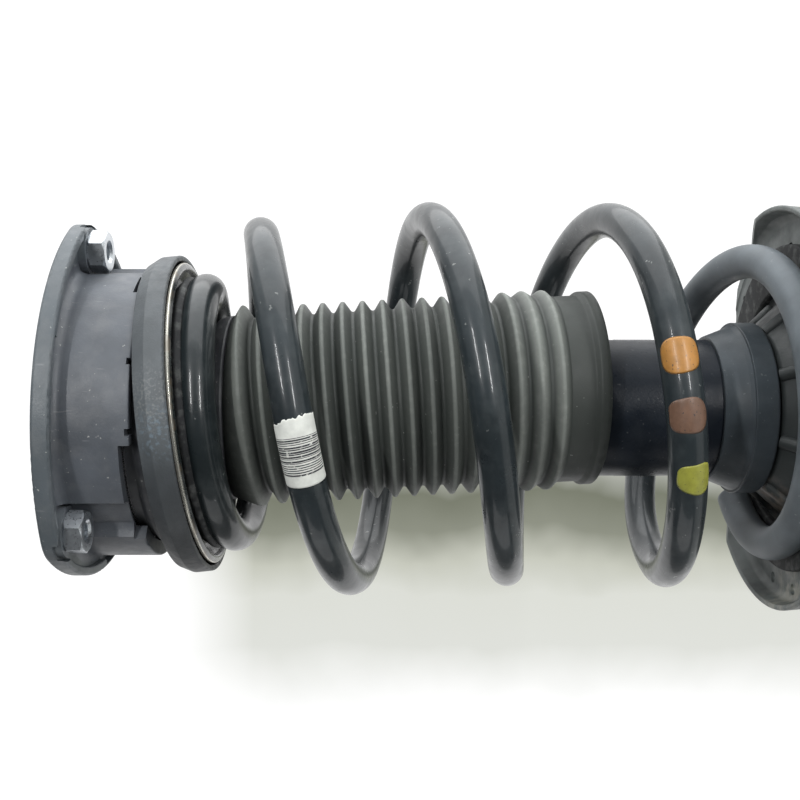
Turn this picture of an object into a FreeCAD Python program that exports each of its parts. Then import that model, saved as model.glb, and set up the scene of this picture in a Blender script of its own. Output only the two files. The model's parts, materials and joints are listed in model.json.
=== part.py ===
"""Front suspension strut: top mount, strut bearing, side-load coil spring, dust boot and twin-tube damper.

Frame: millimetres, +Z along the piston rod towards the vehicle body, origin at the centre of the
mount's outer face. The strut hangs below the origin, so almost every height is negative.
"""

import FreeCAD, Part
import math
import os

from FreeCAD import Placement, Rotation, Vector

# ---------------------------------------------------------------- driving dimensions

# Top mount
FLANGE_THICKNESS = 4.0
LOBE_RADIUS = 16.5
LOBE_CENTRE_R = 54.1
FLANK_R = 62.5
BOLT_CIRCLE_R = 60.5
BOLT_ANGLES = (-15.0, -135.0, 105.0)
LIP_WIDTH = 3.2
LIP_DEPTH = 2.6
BODY_R = 55.2
BODY_OFFSET_X = -1.6
BODY_FOOT = 4.5
SKIRT_Z = -30.7
CHANNEL_R = 51.2
INNER_WALL_R = 37.0
INNER_WALL = 3.0
INNER_WALL_BOTTOM = -24.0
CHANNEL_ROOF_Z = -9.0

# Openings in the skirt's edge, as start and end angle, then the opening's top
SKIRT_OPENINGS = (
    (-146.0, -103.0, -26.8),
    (-99.5, -97.0, -29.2),
    (-74.0, -71.5, -29.2),
    (-40.0, -27.0, -27.0),
    (60.0, 80.0, -26.8),
    (152.0, 170.0, -26.8),
)

# Recesses beside the flange's lip, as angle and width
LIP_RECESSES = (
    (-70.0, 8.0),
    (-106.0, 12.5),
    (50.0, 8.0),
    (170.0, 12.5),
)

# Weld nuts, M8
NUT_AF = 14.0
NUT_HEIGHT = 6.5
NUT_BOSS_R = 9.0
NUT_BOSS_HEIGHT = 2.8
NUT_PILOT_R = 5.3
THREAD_M8_R = 3.4

# Rod and its fixing
ROD_R = 11.0
SHANK_R = 7.0
ROD_TOP_Z = -1.5
SHANK_BOTTOM_Z = -30.0
ROD_BOTTOM_Z = -266.0
ROD_NUT_AF = 21.0
ROD_NUT_HEIGHT = 11.0
WASHER_TOP_Z = -13.0
WASHER_THICKNESS = 3.0
CORE_R = 13.0

# Ball bearing, coaxial with the rod
BALL_CIRCLE_R = 44.0
BALL_R = 2.5
BALL_COUNT = 36
BALL_Z = -20.5
RACE_INNER_R = 38.5
RACE_OUTER_R = 50.0
RACE_GAP = 1.5
UPPER_RACE_TOP_Z = CHANNEL_ROOF_Z
LOWER_RACE_BOTTOM_Z = -27.0
GROOVE_CLEARANCE = 0.15

# Inclined seat of the spring
SEAT_TILT = 5.85
SEAT_OFFSET_X = -3.0
SEAT_TOP_Z = -34.4
SEAT_FACE = -5.0
SEAT_PLATE = 2.0
COVER_R = 61.0
COVER_BOTTOM = -10.6
COVER_SHOULDER = -4.0
COVER_TOP = 0.6
COVER_INNER_R = 55.3

# Coil spring. Turns are counted from the +X side. Heights are of the wire's centre.
WIRE_R = 6.5
SPRING_HEIGHTS = (
    (-0.35, -51.0), (-0.12, -45.4), (0.00, -47.6), (0.25, -52.3), (0.50, -59.0), (0.75, -60.8),
    (1.00, -67.8), (1.25, -86.7), (1.50, -105.2), (1.75, -117.2),
    (2.00, -130.9), (2.25, -150.3), (2.50, -163.7), (2.75, -176.6),
    (3.00, -198.5), (3.25, -213.9), (3.50, -222.9), (3.62, -225.8), (3.75, -235.6),
    (4.00, -255.9), (4.25, -263.2), (4.62, -263.7),
)
# Mean radius of the coil, then its centre's offset along +X
SPRING_WIDTHS = (
    (-0.35, 46.5, -1.2), (0.00, 46.5, -1.2), (0.50, 48.0, -1.0),
    (1.00, 65.6, 0.5), (1.50, 66.6, 1.5), (2.00, 67.0, 5.2), (2.50, 67.3, 5.5),
    (3.00, 67.6, 5.6), (3.50, 67.0, 5.0), (4.00, 54.8, 2.0), (4.62, 54.4, 2.0),
)
SPRING_STEPS_PER_TURN = 12

# Dust boot
BOOT_TILT = 3.3
BOOT_TOP_Z = -61.0
BOOT_FIRST_CREST_Z = -65.0
BOOT_PITCH = 7.45
BOOT_CRESTS = 16
BOOT_CREST_R = 39.6
BOOT_VALLEY_R = 33.0
BOOT_LAST_VALLEY_R = 36.3
BOOT_SHALLOW_CRESTS = 3
BOOT_NECK_R = 36.0
BOOT_LIP_R = 37.4
BOOT_END_Z = -194.0
BOOT_WALL = 1.5

# Bump stop and its cup
CUP_R = 27.0
CUP_TOP_Z = SHANK_BOTTOM_Z
CUP_BOTTOM_Z = -56.0
BUMP_TOP_Z = -52.0
BUMP_BOTTOM_Z = -105.0
BUMP_R = 24.0

# Damper
TUBE_R = 24.4
TUBE_WALL = 2.2
CLAMP_R = 25.0
CLAMP_TOP_Z = -413.5
NECK_R = 23.3
NECK_END_Z = -262.0
TUBE_TOP_Z = -180.0
TUBE_BOTTOM_Z = -490.0
CAP_TOP_Z = -177.0
INNER_TUBE_R = 17.5
INNER_TUBE_BORE_R = 16.0
INNER_TUBE_TOP_Z = -192.0
INNER_TUBE_BOTTOM_Z = -468.0
PISTON_TOP_Z = -236.0
PISTON_HEIGHT = 18.0
FIT_GAP = 0.05

# Guard sleeve on the damper tube
SLEEVE_R = 26.5
SLEEVE_WALL = 1.9
SLEEVE_TOP_Z = -184.0
SLEEVE_BOTTOM_Z = -258.4
COLLAR_R = 33.0
COLLAR_TOP_Z = -240.0
COLLAR_SHOULDER_Z = -249.8

# Lower spring seat
LOWER_SEAT_R = 77.6
LOWER_SEAT_FLAT_ANGLE = 75.0
LOWER_SEAT_FLAT_R = 68.0
LOWER_SEAT_CORNER_R = 8.0
RIM_GAP_START = 30.0
RIM_GAP_END = 120.0
RIM_RAMP = 15.0
LOWER_SEAT_FLOOR_Z = -272.6
LOWER_SEAT_RIM_Z = -264.8
LOWER_SEAT_PLATE = 3.0
LOWER_SEAT_CONE_TOP_Z = -259.6
RIB_COUNT = 8

# Drain holes of the lower seat, as angle, distance from the axis and radius
DRAIN_HOLES = (
    (-4.0, 61.0, 2.9),
    (30.0, 61.5, 2.9),
    (46.0, 68.0, 1.3),
    (168.0, 70.0, 2.2),
    (185.0, 70.0, 2.2),
    (-98.0, 66.0, 2.9),
)

# Brackets on the lower tube
LINK_BRACKET_ANGLE = -65.0
LINK_BRACKET_Z = -352.0
LINK_HOLE_R = 6.1
HOSE_BRACKET_ANGLE = 60.0
HOSE_BRACKET_Z = -318.0
HOSE_HOLE_R = 3.3
TAB_ANGLE = 115.0


# ---------------------------------------------------------------- helpers

def profile(corners):
    """A closed face in the XZ plane through (r, z) or (r, z, fillet) corners, filleted where asked."""
    area = sum(a[0] * b[1] - b[0] * a[1] for a, b in zip(corners, corners[1:] + corners[:1]))
    if area < 0:
        corners = corners[::-1]
    points = [Vector(c[0], 0, c[1]) for c in corners]
    fillets = [c[2] if len(c) > 2 else 0.0 for c in corners]
    edges = []
    starts, ends, mids = [], [], []
    count = len(points)
    for i, p in enumerate(points):
        before = points[i - 1] - p
        after = points[(i + 1) % count] - p
        before.normalize()
        after.normalize()
        if fillets[i] == 0:
            starts.append(p)
            ends.append(p)
            mids.append(None)
            continue
        half = before.getAngle(after) / 2
        reach = fillets[i] / math.tan(half)
        bisector = before + after
        bisector.normalize()
        centre = p + bisector * (fillets[i] / math.sin(half))
        starts.append(p + before * reach)
        ends.append(p + after * reach)
        mids.append(centre - bisector * fillets[i])
    for i in range(count):
        if mids[i] is not None:
            edges.append(Part.Arc(starts[i], mids[i], ends[i]).toShape())
        following = starts[(i + 1) % count]
        side = points[(i + 1) % count] - points[i]
        if (following - ends[i]).dot(side) < -1e-6:
            raise ValueError(f"the fillets at {corners[i]} and after it overlap")
        if ends[i].distanceToPoint(following) > 1e-6:
            edges.append(Part.LineSegment(ends[i], following).toShape())
    return Part.Face(Part.Wire(Part.__sortEdges__(edges)))


def turned(corners):
    """The solid of revolution of a profile about Z."""
    return profile(corners).revolve(Vector(0, 0, 0), Vector(0, 0, 1), 360)


def cylinder(radius, bottom, top, x=0.0, y=0.0):
    return Part.makeCylinder(radius, top - bottom, Vector(x, y, bottom))


def tube(outer, inner, bottom, top):
    return cylinder(outer, bottom, top).cut(cylinder(inner, bottom - 1, top + 1))


def sector(outer, inner, bottom, top, start, end):
    """A piece of a tube between two angles."""
    wedge = Part.makeCylinder(outer, top - bottom, Vector(0, 0, bottom), Vector(0, 0, 1), end - start)
    return spun(wedge, start).cut(cylinder(inner, bottom - 1, top + 1))


def hexagon(across_flats, bottom, top, chamfer):
    """A hexagon nut's blank, with its corners turned off at both ends."""
    corner = across_flats / math.sqrt(3)
    points = [
        Vector(corner * math.cos(math.radians(60 * i)), corner * math.sin(math.radians(60 * i)), bottom)
        for i in range(7)
    ]
    prism = Part.Face(Part.makePolygon(points)).extrude(Vector(0, 0, top - bottom))
    flat_r = across_flats / 2
    blank = turned([
        (0, bottom), (flat_r, bottom), (corner + 0.01, bottom + chamfer),
        (corner + 0.01, top - chamfer), (flat_r, top), (0, top),
    ])
    return prism.common(blank)


def on_circle(radius, angle):
    a = math.radians(angle)
    return radius * math.cos(a), radius * math.sin(a)


def spun(shape, angle):
    """A copy of a shape, turned about the strut's axis."""
    copy = shape.copy()
    copy.rotate(Vector(0, 0, 0), Vector(0, 0, 1), angle)
    return copy


def lean(shape):
    """Carries a shape from the spring seat's own frame to its inclined place."""
    copy = shape.copy()
    turn = Rotation(Vector(0, -1, 0), SEAT_TILT)
    copy.Placement = Placement(Vector(SEAT_OFFSET_X, 0, SEAT_TOP_Z), turn)
    return copy


def inclined_slab(lift, height):
    """A wide slab whose lower face is the seat's plane, raised by lift."""
    slab = Part.makeBox(300, 300, height, Vector(-150, -150, lift))
    return lean(slab)


def smooth(rows, t):
    """Cubic interpolation of (position, value) rows, each slope taken from the row's two neighbours."""
    last = len(rows) - 1
    k = max(i for i in range(last) if i == 0 or rows[i][0] <= t)

    def slope(i):
        a = rows[max(i - 1, 0)]
        b = rows[min(i + 1, last)]
        return (b[1] - a[1]) / (b[0] - a[0])

    width = rows[k + 1][0] - rows[k][0]
    u = (t - rows[k][0]) / width
    rise = rows[k + 1][1] - rows[k][1]
    ease = u * u * (3 - 2 * u)
    start_bend = slope(k) * width * u * (1 - u) ** 2
    end_bend = slope(k + 1) * width * u * u * (u - 1)
    return rows[k][1] + rise * ease + start_bend + end_bend


def export(node, shape):
    solid = shape.removeSplitter() if shape.ShapeType == "Solid" else shape
    solid.exportStep(f"parts/{node}.step")


# ---------------------------------------------------------------- top mount

def flange_outline(inset, z):
    """The rounded triangle: three lobe arcs joined by three long tangent flank arcs."""
    lobe = LOBE_RADIUS - inset
    reach = FLANK_R - inset - lobe
    far = (LOBE_CENTRE_R**2 - reach**2) / (2 * reach - LOBE_CENTRE_R)
    flank = FLANK_R - inset + far
    edges = []
    for angle in BOLT_ANGLES:
        ends = []
        for side in (-1, 1):
            centre = Vector(*on_circle(-far, angle + 60 * side), z)
            tip = Vector(*on_circle(LOBE_CENTRE_R, angle), z)
            along = tip - centre
            along.normalize()
            ends.append(centre + along * flank)
        tip_point = Vector(*on_circle(LOBE_CENTRE_R + lobe, angle), z)
        edges.append(Part.Arc(ends[0], tip_point, ends[1]).toShape())
        next_angle = angle + 120
        centre = Vector(*on_circle(-far, angle + 60), z)
        next_tip = Vector(*on_circle(LOBE_CENTRE_R, next_angle), z)
        along = next_tip - centre
        along.normalize()
        middle = Vector(*on_circle(FLANK_R - inset, angle + 60), z)
        edges.append(Part.Arc(ends[1], middle, centre + along * flank).toShape())
    return Part.Face(Part.Wire(Part.__sortEdges__(edges)))


def flange_plate(inset, top, thickness):
    return flange_outline(inset, top).extrude(Vector(0, 0, -thickness))


def mount_housing():
    plate = flange_plate(0, 0, FLANGE_THICKNESS)
    edge = [e for e in plate.Edges if abs(e.BoundBox.ZMax) < 1e-6 and abs(e.BoundBox.ZMin) < 1e-6]
    plate = plate.makeFillet(1.6, edge)
    lip = flange_plate(0, -FLANGE_THICKNESS, LIP_DEPTH)
    lip = lip.cut(flange_plate(LIP_WIDTH, -FLANGE_THICKNESS, LIP_DEPTH + 1))
    outer_edge = [
        e for e in lip.Edges
        if abs(e.BoundBox.ZMax + FLANGE_THICKNESS + LIP_DEPTH) < 1e-6
        and e.BoundBox.Center.Length > 0
    ]
    lip = lip.makeFillet(0.9, outer_edge)
    foot_r = BODY_R + BODY_FOOT
    body = turned([
        (0, -0.01), (0, SKIRT_Z), (BODY_R, SKIRT_Z, 0.6), (BODY_R, -FLANGE_THICKNESS, 3.6),
        (foot_r, -FLANGE_THICKNESS + 0.01), (foot_r, -0.01),
    ])
    body.translate(Vector(BODY_OFFSET_X, 0, 0))
    housing = plate.fuse(lip).fuse(body)
    below = SKIRT_Z - 1
    channel = turned([
        (INNER_WALL_R, below), (INNER_WALL_R, CHANNEL_ROOF_Z, 2.0), (CHANNEL_R, CHANNEL_ROOF_Z, 2.5),
        (CHANNEL_R, below),
    ])
    housing = housing.cut(channel)
    housing = housing.cut(cylinder(INNER_WALL_R + 1, below, INNER_WALL_BOTTOM))
    housing = housing.cut(cylinder(INNER_WALL_R - INNER_WALL, below, 1))
    for angle in BOLT_ANGLES:
        x, y = on_circle(BOLT_CIRCLE_R, angle)
        scallop = cylinder(NUT_AF / 2 + 3.4, below, -FLANGE_THICKNESS, x, y)
        outer = tube(BODY_R + 30, CHANNEL_R + 1.0, below, -FLANGE_THICKNESS)
        housing = housing.cut(scallop.common(outer))
        boss = cylinder(NUT_BOSS_R, -FLANGE_THICKNESS - NUT_BOSS_HEIGHT, -FLANGE_THICKNESS, x, y)
        housing = housing.fuse(boss)
        housing = housing.cut(cylinder(NUT_PILOT_R + 0.02, -10, 1, x, y))
    for angle, width in LIP_RECESSES:
        recess = Part.makeBox(4.4, width, 3.0, Vector(FLANK_R - 5.4, -width / 2, -FLANGE_THICKNESS - 2.6))
        housing = housing.cut(spun(recess, angle))
    for start, end, top in SKIRT_OPENINGS:
        housing = housing.cut(sector(BODY_R + 10, CHANNEL_R - 1, below, top, start, end))
    return housing


def mount_nuts():
    nuts = []
    for angle in BOLT_ANGLES:
        top = -FLANGE_THICKNESS - NUT_BOSS_HEIGHT
        bottom = top - NUT_HEIGHT
        nut = hexagon(NUT_AF, bottom, top, 1.0)
        nut = nut.fuse(cylinder(NUT_PILOT_R, top - 0.5, -0.3))
        nut = nut.cut(cylinder(THREAD_M8_R, bottom - 1, 1))
        sink = Part.makeCone(THREAD_M8_R + 0.9, THREAD_M8_R - 0.1, 1.0, Vector(0, 0, bottom))
        nut = nut.cut(sink)
        nut.rotate(Vector(0, 0, 0), Vector(0, 0, 1), angle)
        nut.translate(Vector(*on_circle(BOLT_CIRCLE_R, angle), 0))
        nuts.append(nut)
    return Part.makeCompound(nuts)


def mount_rubber():
    outer = INNER_WALL_R - INNER_WALL
    return turned([
        (CORE_R, -16.6), (20.0, -16.9, 1.5), (25.6, -12.0, 2.0), (26.4, -6.8, 2.0), (outer, -4.0),
        (outer, -23.0), (27.0, -23.5, 3.0), (20.0, -28.0, 2.0), (CORE_R, -29.0),
    ])


def mount_core():
    return turned([
        (SHANK_R + FIT_GAP, -16.0), (CORE_R, -16.0), (CORE_R, SHANK_BOTTOM_Z, 1.0),
        (SHANK_R + FIT_GAP, SHANK_BOTTOM_Z),
    ])


def rod_nut():
    bottom = WASHER_TOP_Z
    nut = hexagon(ROD_NUT_AF, bottom, bottom + ROD_NUT_HEIGHT, 1.4)
    nut = nut.fuse(turned([(0, bottom), (14.0, bottom), (12.0, bottom + 1.8), (0, bottom + 1.8)]))
    return nut.cut(cylinder(SHANK_R + FIT_GAP, bottom - 1, 1))


def rebound_washer():
    top = WASHER_TOP_Z
    bottom = top - WASHER_THICKNESS
    return turned([
        (SHANK_R + FIT_GAP, bottom), (19.0, bottom, 1.5), (24.0, bottom + 6.0),
        (24.0, bottom + 8.0, 0.8), (22.4, bottom + 8.0, 0.5), (18.2, top, 1.5), (SHANK_R + FIT_GAP, top),
    ])


# ---------------------------------------------------------------- strut bearing

def ball_groove():
    return Part.makeTorus(BALL_CIRCLE_R, BALL_R + GROOVE_CLEARANCE, Vector(0, 0, BALL_Z))


def bearing_upper_race():
    bottom = BALL_Z + RACE_GAP
    race = turned([
        (RACE_INNER_R, bottom), (RACE_INNER_R, UPPER_RACE_TOP_Z, 2.5),
        (RACE_OUTER_R, UPPER_RACE_TOP_Z, 3.0), (RACE_OUTER_R, bottom),
    ])
    return race.cut(ball_groove())


def bearing_lower_race():
    race = tube(RACE_OUTER_R, RACE_INNER_R, LOWER_RACE_BOTTOM_Z, BALL_Z - RACE_GAP)
    return race.cut(ball_groove())


def bearing_balls():
    ball = Part.makeSphere(BALL_R, Vector(BALL_CIRCLE_R, 0, BALL_Z))
    return Part.makeCompound([spun(ball, 360 * i / BALL_COUNT) for i in range(BALL_COUNT)])


def ball_cage():
    ring = tube(BALL_CIRCLE_R + 4.0, BALL_CIRCLE_R - 4.0, BALL_Z - 1.0, BALL_Z + 1.0)
    pocket = cylinder(BALL_R + 0.2, BALL_Z - 3, BALL_Z + 3, BALL_CIRCLE_R, 0)
    return ring.cut(Part.makeCompound([spun(pocket, 360 * i / BALL_COUNT) for i in range(BALL_COUNT)]))


def bearing_collar():
    """The wedge between the level ball bearing and the inclined spring seat."""
    wedge = turned([
        (RACE_INNER_R, LOWER_RACE_BOTTOM_Z), (49.5, LOWER_RACE_BOTTOM_Z), (49.5, -30.5, 1.0),
        (51.8, -32.5, 1.0), (51.8, -60.0), (RACE_INNER_R, -60.0),
    ])
    return wedge.common(inclined_slab(SEAT_FACE, 60.0))


def bearing_cover_ring():
    """The shell round the seat, whose wall reaches up past the mount's skirt."""
    ring = turned([
        (COVER_INNER_R, SEAT_FACE), (58.7, SEAT_FACE, 0.8), (58.8, COVER_BOTTOM, 0.8),
        (COVER_R, COVER_BOTTOM, 0.8), (COVER_R, COVER_SHOULDER, 1.0), (58.7, COVER_TOP, 0.4),
        (57.9, COVER_TOP, 0.3), (57.9, SEAT_FACE + 1.8, 0.8), (COVER_INNER_R, SEAT_FACE + 1.8),
    ])
    return lean(ring)


def upper_spring_seat():
    face = SEAT_FACE
    below = SEAT_FACE - SEAT_PLATE
    dish = turned([
        (36.0, -17.0), (36.0, face, 4.0), (56.8, face, 2.0), (57.2, -10.0, 0.6), (58.1, -10.4, 0.4),
        (58.1, -11.4, 0.4), (55.6, -12.6, 0.8), (54.8, -10.4, 1.0), (51.6, below, 4.0),
        (36.0 + SEAT_PLATE, below, 2.0), (36.0 + SEAT_PLATE, -17.0),
    ])
    return lean(dish)


def upper_isolator():
    ring = turned([
        (38.2, -9.6), (40.6, -7.1), (48.2, -7.1, 1.0), (52.8, -12.4, 1.2), (51.8, -14.4, 0.8),
        (40.6, -14.4, 1.0), (39.8, -16.5, 0.7), (38.2, -16.5, 0.7),
    ])
    return lean(ring).cut(coil_spring_solid(WIRE_R + 0.02))


# ---------------------------------------------------------------- coil spring

def wire_centre(turn, reach=1.0):
    """A point on the wire's centre line; reach stretches the mean radius."""
    angle = -2 * math.pi * turn
    radius = smooth([(row[0], row[1]) for row in SPRING_WIDTHS], turn) * reach
    offset = smooth([(row[0], row[2]) for row in SPRING_WIDTHS], turn)
    height = smooth(SPRING_HEIGHTS, turn)
    return Vector(offset + radius * math.cos(angle), radius * math.sin(angle), height)


def arc_path(points):
    """Straight runs joined by tangent arcs, which start and end at the first and last point."""
    edges = []
    start = points[0]
    for i in range(1, len(points) - 1):
        p = points[i]
        back = points[i - 1] - p
        ahead = points[i + 1] - p
        reach = 0.45 * min(back.Length, ahead.Length)
        back.normalize()
        ahead.normalize()
        half = back.getAngle(ahead) / 2
        radius = reach * math.tan(half)
        bisector = back + ahead
        bisector.normalize()
        centre = p + bisector * (radius / math.sin(half))
        first = p + back * reach
        last = p + ahead * reach
        middle = centre - bisector * radius
        edges.append(Part.LineSegment(start, first).toShape())
        edges.append(Part.Arc(first, middle, last).toShape())
        start = last
    edges.append(Part.LineSegment(start, points[-1]).toShape())
    return Part.Wire(edges)


def coil_spring_solid(wire_r):
    first = SPRING_HEIGHTS[0][0]
    last = SPRING_HEIGHTS[-1][0]
    steps = round((last - first) * SPRING_STEPS_PER_TURN)
    outward = 1 / math.cos(math.pi / SPRING_STEPS_PER_TURN) ** 0.5
    points = [wire_centre(first + (last - first) * i / steps, outward) for i in range(steps + 1)]
    path = arc_path(points)
    along = points[1] - points[0]
    circle = Part.Wire(Part.Circle(points[0], along, wire_r).toShape())
    return path.makePipe(Part.Face(circle))


def coil_spring():
    return coil_spring_solid(WIRE_R)


# ---------------------------------------------------------------- dust boot and bump stop

def boot_corners():
    """Outer corners of the pleats from the top down, then the wall's inner corners back up."""
    outer = [(BOOT_VALLEY_R, BOOT_TOP_Z)]
    for i in range(BOOT_CRESTS):
        z = BOOT_FIRST_CREST_Z - i * BOOT_PITCH
        shallow = i >= BOOT_CRESTS - BOOT_SHALLOW_CRESTS
        valley = BOOT_LAST_VALLEY_R if shallow else BOOT_VALLEY_R
        outer.append((BOOT_CREST_R - 0.04 * i, z, 1.1))
        outer.append((valley, z - BOOT_PITCH / 2, 1.0))
    last = outer.pop()
    outer.append((BOOT_NECK_R, last[1] + 0.5, 1.0))
    outer.append((BOOT_NECK_R, BOOT_END_Z + 5.0, 1.0))
    outer.append((BOOT_LIP_R, BOOT_END_Z + 3.5, 1.0))
    outer.append((BOOT_LIP_R, BOOT_END_Z, 1.0))
    inner = [(r - BOOT_WALL, z, 0.8) for r, z, *rest in outer[1:-3]]
    inner = [(BOOT_VALLEY_R - BOOT_WALL, BOOT_TOP_Z)] + inner + [(BOOT_NECK_R - BOOT_WALL, BOOT_END_Z)]
    return outer + inner[::-1]


def dust_boot():
    boot = turned(boot_corners())
    boot.rotate(Vector(0, 0, BOOT_TOP_Z), Vector(0, 1, 0), -BOOT_TILT)
    return boot


def boot_top_ring():
    return turned([
        (CUP_R + 0.1, -52.5), (34.5, -52.5, 1.5), (36.0, -58.8, 1.0), (30.5, -58.8), (CUP_R + 0.1, -56.5),
    ])


def bump_stop_cup():
    return turned([
        (SHANK_R + FIT_GAP, CUP_TOP_Z), (18.0, CUP_TOP_Z, 1.5), (18.0, -40.0, 3.0), (CUP_R, -44.0, 2.5),
        (CUP_R, CUP_BOTTOM_Z, 0.8), (CUP_R - 2.0, CUP_BOTTOM_Z, 0.8), (CUP_R - 2.0, -46.5, 1.5),
        (ROD_R + 1.0, -46.5), (ROD_R + 1.0, -33.0), (SHANK_R + FIT_GAP, -33.0),
    ])


def bump_stop():
    bore = ROD_R + 0.8
    return turned([
        (bore, BUMP_TOP_Z + 5.2), (BUMP_R, BUMP_TOP_Z + 5.2, 2.0), (BUMP_R, -62.0, 3.0), (19.5, -67.0, 2.5),
        (23.0, -74.0, 3.0), (18.0, -82.0, 2.5), (21.0, -89.0, 3.0), (15.5, -97.0, 2.5),
        (15.0, BUMP_BOTTOM_Z, 1.6), (bore, BUMP_BOTTOM_Z, 1.0),
    ])


# ---------------------------------------------------------------- rod and piston

def piston_rod():
    rod = turned([
        (0, ROD_TOP_Z), (SHANK_R, ROD_TOP_Z, 1.0), (SHANK_R, -33.2), (ROD_R, -33.2, 0.8),
        (ROD_R, PISTON_TOP_Z), (6.0, PISTON_TOP_Z), (6.0, ROD_BOTTOM_Z, 0.8), (0, ROD_BOTTOM_Z),
    ])
    socket = Part.makeCylinder(3.4, 8.0, Vector(0, 0, ROD_TOP_Z - 7.0))
    return rod.cut(socket)


def rebound_stop():
    return turned([
        (ROD_R + 0.02, -208.0), (15.0, -208.0, 1.0), (15.0, -216.0, 1.5), (ROD_R + 0.02, -216.0),
    ])


def piston():
    bottom = PISTON_TOP_Z - PISTON_HEIGHT
    body = turned([
        (6.02, PISTON_TOP_Z), (15.2, PISTON_TOP_Z, 0.8), (15.2, PISTON_TOP_Z - 4.0),
        (14.4, PISTON_TOP_Z - 4.0), (14.4, bottom + 4.0), (15.2, bottom + 4.0), (15.2, bottom, 0.8),
        (6.02, bottom),
    ])
    port = cylinder(1.4, bottom - 1, PISTON_TOP_Z + 1, 10.5, 0)
    return body.cut(Part.makeCompound([spun(port, 60 * i) for i in range(6)]))


def piston_band():
    bottom = PISTON_TOP_Z - PISTON_HEIGHT + 4.0
    return tube(INNER_TUBE_BORE_R - FIT_GAP, 14.45, bottom + 0.1, PISTON_TOP_Z - 4.1)


def piston_nut():
    top = PISTON_TOP_Z - PISTON_HEIGHT
    nut = hexagon(19.0, top - 9.0, top, 1.2)
    return nut.cut(cylinder(6.02, top - 10, top + 1))


# ---------------------------------------------------------------- damper tube

def strut_tube():
    bore = TUBE_R - TUBE_WALL
    neck_bore = NECK_R - TUBE_WALL
    return turned([
        (NECK_R, TUBE_TOP_Z), (NECK_R, NECK_END_Z, 1.5), (TUBE_R, NECK_END_Z - 4.0, 1.5),
        (TUBE_R, CLAMP_TOP_Z), (CLAMP_R, CLAMP_TOP_Z),
        (CLAMP_R, TUBE_BOTTOM_Z, 1.5), (bore - 3.0, TUBE_BOTTOM_Z, 0), (bore - 3.0, TUBE_BOTTOM_Z + 2.0),
        (bore, TUBE_BOTTOM_Z + 4.0), (bore, NECK_END_Z - 5.0, 1.0), (neck_bore, NECK_END_Z - 1.5, 1.0),
        (neck_bore, TUBE_TOP_Z),
    ])


def tube_cap():
    return turned([
        (ROD_R + 1.5, CAP_TOP_Z), (23.2, CAP_TOP_Z, 1.5), (24.6, -183.6), (NECK_R + 0.05, -183.6),
        (NECK_R + 0.05, TUBE_TOP_Z), (ROD_R + 1.5, TUBE_TOP_Z),
    ])


def rod_guide():
    bore = NECK_R - TUBE_WALL - FIT_GAP
    return turned([
        (ROD_R + FIT_GAP, -188.0), (bore, -188.0, 0.6), (bore, INNER_TUBE_TOP_Z),
        (INNER_TUBE_BORE_R - FIT_GAP, INNER_TUBE_TOP_Z), (INNER_TUBE_BORE_R - FIT_GAP, -203.0, 0.8),
        (ROD_R + FIT_GAP, -203.0),
    ])


def rod_seal():
    bore = NECK_R - TUBE_WALL - FIT_GAP
    return turned([
        (ROD_R + 0.6, -181.0), (bore, -181.0), (bore, -188.0), (ROD_R + 0.6, -188.0),
        (ROD_R + 0.06, -186.0), (ROD_R + 0.06, -184.5),
    ])


def working_cylinder():
    return tube(INNER_TUBE_R, INNER_TUBE_BORE_R, INNER_TUBE_BOTTOM_Z, INNER_TUBE_TOP_Z)


def base_valve():
    top = INNER_TUBE_BOTTOM_Z + 8.0
    body = turned([
        (0, top), (INNER_TUBE_BORE_R - FIT_GAP, top, 1.0),
        (INNER_TUBE_BORE_R - FIT_GAP, INNER_TUBE_BOTTOM_Z), (20.0, INNER_TUBE_BOTTOM_Z), (20.0, -478.0),
        (15.0, -478.0), (12.0, -474.0), (0, -474.0),
    ])
    port = cylinder(1.6, -480, top + 1, 10.0, 0)
    return body.cut(Part.makeCompound([spun(port, 60 * i) for i in range(6)]))


def bottom_cap():
    bore = TUBE_R - TUBE_WALL
    return turned([
        (0, -478.0), (15.0, -478.0), (20.0, -478.05, 0), (bore - 0.05, -479.0),
        (bore - 0.05, TUBE_BOTTOM_Z + 4.6), (bore - 3.05, TUBE_BOTTOM_Z + 2.6),
        (bore - 3.05, TUBE_BOTTOM_Z + 1.0), (14.0, TUBE_BOTTOM_Z + 3.0, 3.0), (8.0, TUBE_BOTTOM_Z + 6.0, 3.0),
        (0, TUBE_BOTTOM_Z + 6.0),
    ])


def guard_sleeve():
    bore = SLEEVE_R - SLEEVE_WALL
    lip_r = NECK_R + 0.3
    sleeve = turned([
        (lip_r, SLEEVE_TOP_Z), (SLEEVE_R - 0.8, SLEEVE_TOP_Z), (SLEEVE_R, SLEEVE_TOP_Z - 2.0),
        (SLEEVE_R, SLEEVE_BOTTOM_Z), (bore, SLEEVE_BOTTOM_Z), (bore, SLEEVE_TOP_Z - 3.0),
        (lip_r, SLEEVE_TOP_Z - 2.0),
    ])
    for side in (0, 180):
        for start, end in ((-198.5, -205.0), (-219.0, -241.0)):
            window = Part.makeBox(10.0, 8.0, start - end, Vector(SLEEVE_R - 5.0, -4.0, end))
            sleeve = sleeve.cut(spun(window, side))
    return sleeve


def sleeve_collar():
    return turned([
        (SLEEVE_R + 0.05, COLLAR_TOP_Z), (27.7, COLLAR_TOP_Z, 0.5), (31.0, COLLAR_SHOULDER_Z + 1.5, 1.5),
        (32.0, COLLAR_SHOULDER_Z, 0.3), (COLLAR_R, COLLAR_SHOULDER_Z, 0.4), (COLLAR_R, SLEEVE_BOTTOM_Z, 1.0),
        (SLEEVE_R + 0.05, SLEEVE_BOTTOM_Z),
    ])


# ---------------------------------------------------------------- lower spring seat and brackets

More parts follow.
